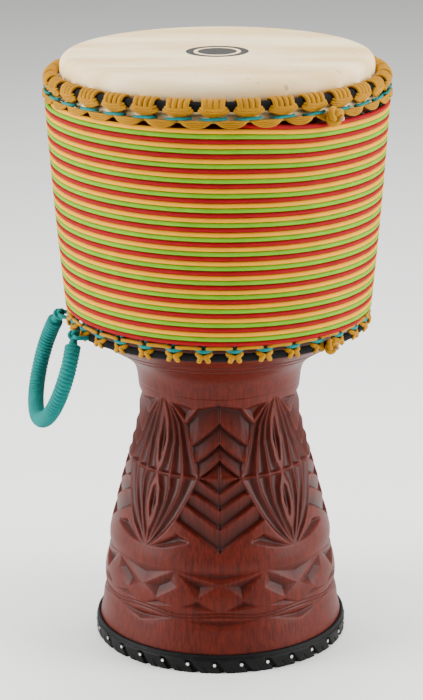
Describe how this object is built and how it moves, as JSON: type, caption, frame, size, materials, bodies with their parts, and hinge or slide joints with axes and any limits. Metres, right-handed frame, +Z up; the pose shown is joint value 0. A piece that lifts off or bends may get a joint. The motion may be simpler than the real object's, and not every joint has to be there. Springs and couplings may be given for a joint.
{
  "type": "djembe",
  "caption": "Rope-tensioned goblet drum with a carved wooden shell, a skin head, a cord-wound bowl, a rope handle and a rubber foot.",
  "frame": {"origin": "centre of the rubber foot, on the surface that the drum stands on", "axes": "+Z up along the drum's axis; -Y is the front, and the handle is at -X"},
  "size_m": [0.3696, 0.3472, 0.61],
  "materials": {
    "carved_wood": "stained and lacquered, satin",
    "goatskin": "natural, matte",
    "ring_steel": "plain",
    "black_cloth": "matte",
    "yellow_cord": "braided",
    "teal_cord": "braided",
    "red_cord": "braided",
    "amber_cord": "braided",
    "green_cord": "braided",
    "melted_tip": "melted",
    "tread_rubber": "matte",
    "nail_metal": "worn"
  },
  "bodies": {
    "drum": {"shell": "carved_wood", "drumhead": "goatskin", "flesh_ring": "ring_steel", "crown_ring": "ring_steel", "crown_ring_cloth": "black_cloth", "crown_hitches": "yellow_cord", "crown_cradles": "yellow_cord", "crown_lacing": "teal_cord", "tension_rope": "teal_cord", "winding_red": "red_cord", "winding_amber": "amber_cord", "winding_green": "green_cord", "bottom_ring": "ring_steel", "bottom_ring_cloth": "black_cloth", "bottom_hitches": "yellow_cord", "bottom_cradles": "yellow_cord", "bottom_lacing": "teal_cord", "crown_knot": "yellow_cord", "crown_knot_end": "melted_tip", "bottom_knot": "yellow_cord", "bottom_knot_end": "melted_tip", "handle_anchors": "teal_cord", "foot_tread": "tread_rubber", "foot_nails": "nail_metal"},
    "handle": {"handle_core": "teal_cord", "handle_wrap": "teal_cord", "handle_knots": "teal_cord"}
  },
  "joints": [
    {"name": "handle_swing", "type": "hinge", "parent": "drum", "child": "handle", "pos_m": [-0.15295, -0.03757, 0.341], "axis": [-0.2385, 0.9711, 0], "range_deg": [0, 150]}
  ]
}
